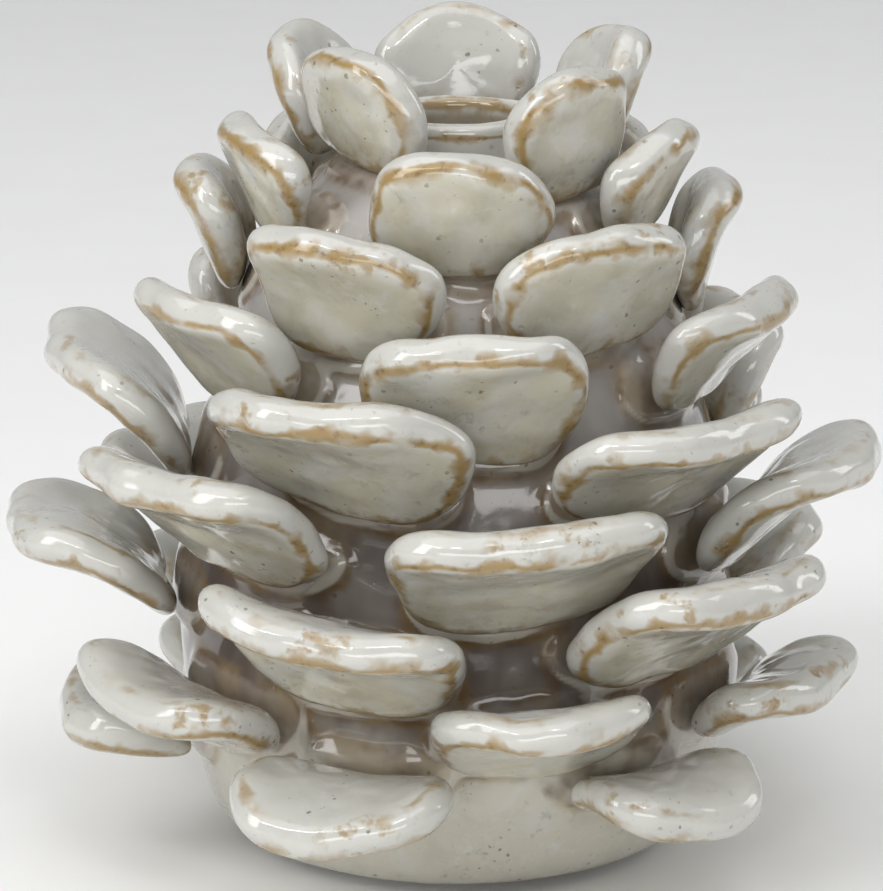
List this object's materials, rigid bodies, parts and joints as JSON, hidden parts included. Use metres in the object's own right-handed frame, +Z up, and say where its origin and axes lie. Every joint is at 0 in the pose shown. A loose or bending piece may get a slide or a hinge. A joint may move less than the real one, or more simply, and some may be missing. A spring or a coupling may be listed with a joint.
{
  "type": "pinecone candle holder",
  "caption": "Open pinecone of glazed stoneware: curled hand-cut scales luted round a hollow pot, with a round socket in the top that holds a slim candle.",
  "frame": {"origin": "midway between the outermost scales, at the level of the table that the foot stands on", "axes": "+Z up along the pot's axis, -Y towards the front that the picture shows, +X to its right"},
  "size_m": [0.1496, 0.1562, 0.1414],
  "materials": {
    "cream_glaze": "glossy cream glaze that breaks to caramel at the edges",
    "bare_clay": "unglazed fired clay"
  },
  "bodies": {
    "root": {"scale_a1": "cream_glaze", "scale_a2": "cream_glaze", "scale_a3": "cream_glaze", "scale_a4": "cream_glaze", "scale_a5": "cream_glaze", "scale_b1": "cream_glaze", "scale_b2": "cream_glaze", "scale_b3": "cream_glaze", "scale_b4": "cream_glaze", "scale_b5": "cream_glaze", "scale_b6": "cream_glaze", "scale_c1": "cream_glaze", "scale_c2": "cream_glaze", "scale_c3": "cream_glaze", "scale_c4": "cream_glaze", "scale_c5": "cream_glaze", "scale_c6": "cream_glaze", "scale_d1": "cream_glaze", "scale_d2": "cream_glaze", "scale_d3": "cream_glaze", "scale_d4": "cream_glaze", "scale_d5": "cream_glaze", "scale_d6": "cream_glaze", "scale_e1": "cream_glaze", "scale_e2": "cream_glaze", "scale_e3": "cream_glaze", "scale_e4": "cream_glaze", "scale_e5": "cream_glaze", "scale_f1": "cream_glaze", "scale_f2": "cream_glaze", "scale_f3": "cream_glaze", "scale_f4": "cream_glaze", "scale_f5": "cream_glaze", "scale_f6": "cream_glaze", "scale_g1": "cream_glaze", "scale_g2": "cream_glaze", "scale_g3": "cream_glaze", "scale_g4": "cream_glaze", "scale_g5": "cream_glaze", "scale_g6": "cream_glaze", "scale_h1": "cream_glaze", "scale_h2": "cream_glaze", "scale_h3": "cream_glaze", "scale_h4": "cream_glaze", "scale_h5": "cream_glaze", "scale_i1": "cream_glaze", "scale_i2": "cream_glaze", "scale_i3": "cream_glaze", "scale_i4": "cream_glaze", "scale_i5": "cream_glaze", "scale_i6": "cream_glaze", "pot_wall": "cream_glaze", "base_slab": "cream_glaze", "foot_ring": "bare_clay", "candle_cup": "cream_glaze"}
  },
  "joints": []
}
